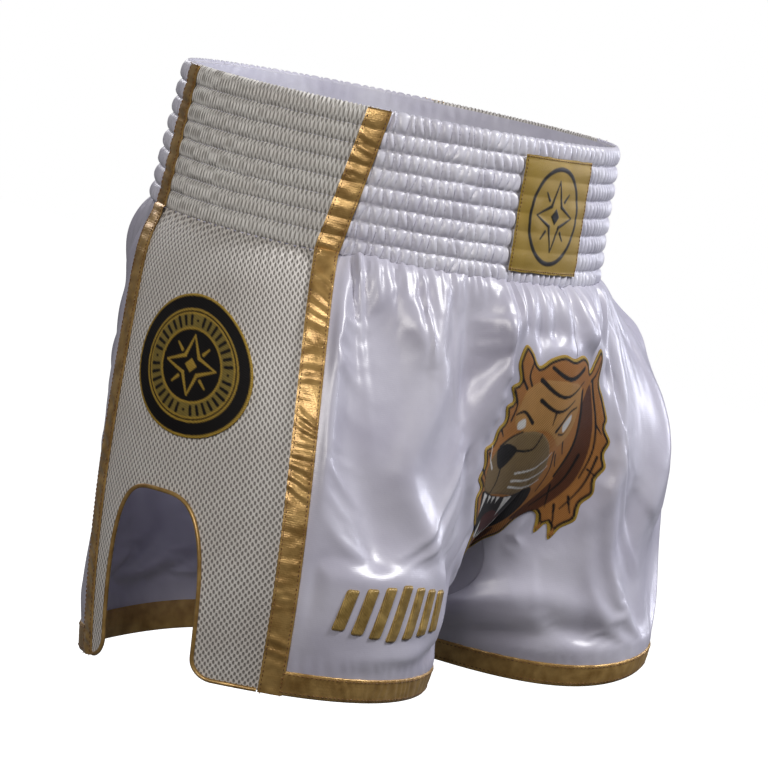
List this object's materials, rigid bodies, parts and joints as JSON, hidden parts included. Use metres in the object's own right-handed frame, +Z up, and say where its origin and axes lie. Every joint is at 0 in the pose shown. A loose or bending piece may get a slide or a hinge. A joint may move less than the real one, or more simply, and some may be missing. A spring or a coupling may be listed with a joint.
{
  "type": "boxing shorts",
  "caption": "Satin boxing shorts with a shirred elastic waistband, mesh side panels with arched vents, contrast side stripes and bound hems.",
  "frame": {"origin": "centre of the waist opening, on the plane of the waistband's top edge", "axes": "+Z up along the waist opening's axis, the front of the shorts towards -Y, the wearer's right towards -X"},
  "size_m": [0.4435, 0.3571, 0.3881],
  "materials": {
    "satin_white": "glossy satin weave",
    "mesh_white": "open athletic knit mesh",
    "elastic_white": "matt woven elastic",
    "satin_gold": "puckered satin ribbon",
    "woven_gold": "woven label with metallic thread",
    "embroidery_black": "dense satin-stitch embroidery",
    "embroidery_brown": "dense satin-stitch embroidery",
    "thread_gold": "raised metallic embroidery"
  },
  "bodies": {
    "root": {"waistband_front": "satin_white", "waistband_back": "satin_white", "waistband_side_right": "mesh_white", "waistband_side_left": "mesh_white", "waist_elastic": "elastic_white", "waist_facing": "satin_white", "front_panel_right": "satin_white", "front_panel_left": "satin_white", "back_panel_right": "satin_white", "back_panel_left": "satin_white", "side_panel_right": "mesh_white", "side_panel_left": "mesh_white", "crotch_gusset": "satin_white", "front_stripe_right": "satin_gold", "front_stripe_left": "satin_gold", "back_stripe_right": "satin_gold", "back_stripe_left": "satin_gold", "hem_binding_right": "satin_gold", "hem_binding_left": "satin_gold", "vent_piping_right": "satin_gold", "vent_piping_left": "satin_gold", "waist_label": "woven_gold", "round_patch_right": "embroidery_black", "round_patch_left": "embroidery_black", "front_patch": "embroidery_brown", "leg_mark": "thread_gold"}
  },
  "joints": []
}
